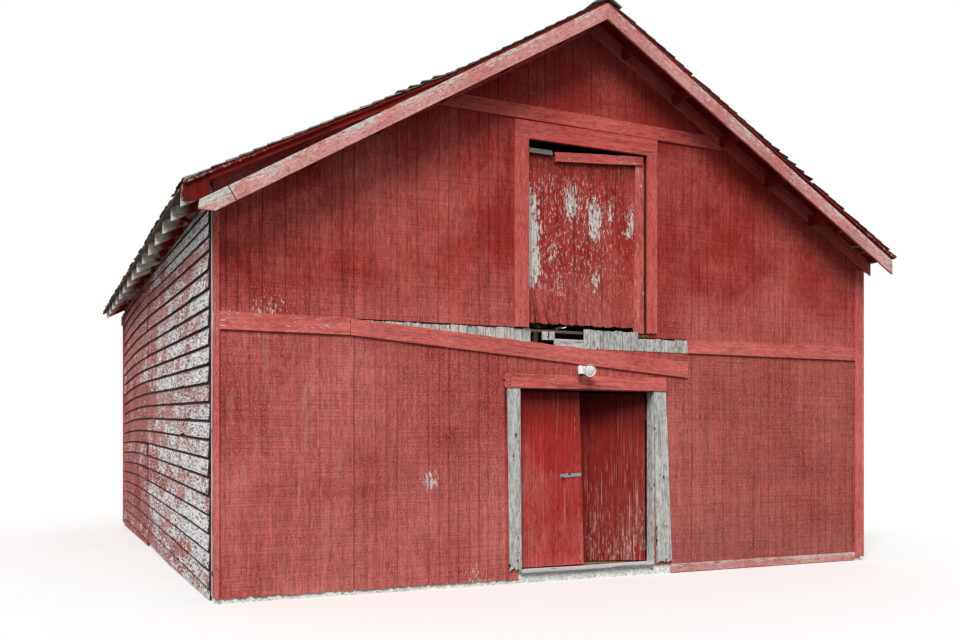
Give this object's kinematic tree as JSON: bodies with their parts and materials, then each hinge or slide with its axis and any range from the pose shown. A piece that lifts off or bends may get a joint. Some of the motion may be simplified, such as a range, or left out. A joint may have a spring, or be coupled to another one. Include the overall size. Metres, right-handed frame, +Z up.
{
  "type": "red barn",
  "caption": "Gabled timber barn with a plywood front, lapped board sides and back, a shingle roof, a two-leaf door on pin hinges and a shut loft door.",
  "frame": {"origin": "on the ground, under the middle of the box around the roof", "axes": "+X to the right along the front, +Y from the front to the back, +Z up"},
  "size_m": [7.715, 9.12, 5.6283],
  "materials": {
    "frame_wood": "bare aged sawn timber",
    "grey_wood": "bare weathered grey timber",
    "red_plywood": "barn red paint, faded and finely chipped, over grooved plywood",
    "red_trim": "faded barn red paint on sawn boards",
    "faded_trim": "thin pinkish red paint with bare grey edges",
    "clapboard": "peeling faded red paint over grey lapped boards",
    "red_door": "red paint with white peeled streaks",
    "shingle": "dark weathered shingles with ragged edges",
    "iron": "dull grey galvanised iron with rust",
    "lamp_white": "white enamel with dirt"
  },
  "bodies": {
    "barn": {"sills": "grey_wood", "floor_joists": "frame_wood", "floor_boards": "frame_wood", "side_frames": "frame_wood", "back_frame": "frame_wood", "front_frame": "frame_wood", "door_lintel": "frame_wood", "gable_frame": "frame_wood", "loft_lintel": "frame_wood", "loft_beam": "frame_wood", "loft_joists": "grey_wood", "loft_floor": "frame_wood", "front_siding_left": "red_plywood", "front_siding_right": "red_plywood", "siding_over_door": "red_plywood", "gable_siding_left": "red_plywood", "gable_siding_right": "red_plywood", "gable_siding_top": "red_plywood", "old_boards": "grey_wood", "left_clapboards": "clapboard", "right_clapboards": "clapboard", "back_clapboards": "clapboard", "corner_boards": "red_trim", "belt_boards": "red_trim", "fallen_belt_board": "red_trim", "door_casings": "grey_wood", "door_jambs": "grey_wood", "door_header": "red_trim", "threshold": "grey_wood", "skirt_board": "red_trim", "loft_side_casings": "red_trim", "loft_top_casing": "red_trim", "loft_door": "red_door", "loft_door_stops": "red_trim", "left_rafters": "grey_wood", "right_rafters": "grey_wood", "ridge_board": "grey_wood", "left_deck": "grey_wood", "right_deck": "grey_wood", "left_shingles": "shingle", "right_shingles": "shingle", "ridge_cap": "shingle", "rake_frieze": "red_trim", "rake_strips": "red_trim", "left_barge_board": "faded_trim", "right_barge_board": "faded_trim", "back_barge_boards": "faded_trim", "lookouts": "grey_wood", "eave_return": "red_plywood", "floodlight": "lamp_white", "hinge_pintles": "iron"},
    "left_door": {"left_leaf": "red_door", "left_leaf_iron": "iron"},
    "right_door": {"right_leaf": "red_door", "right_leaf_iron": "iron"}
  },
  "joints": [
    {"name": "left_door_hinge", "type": "hinge", "parent": "barn", "child": "left_door", "pos_m": [-0.678, -4.05395, 1], "axis": [0, 0, 1], "range_deg": [0, 95]},
    {"name": "right_door_hinge", "type": "hinge", "parent": "barn", "child": "right_door", "pos_m": [0.833, -4.05395, 1], "axis": [0, 0, 1], "range_deg": [-75, 20]}
  ]
}
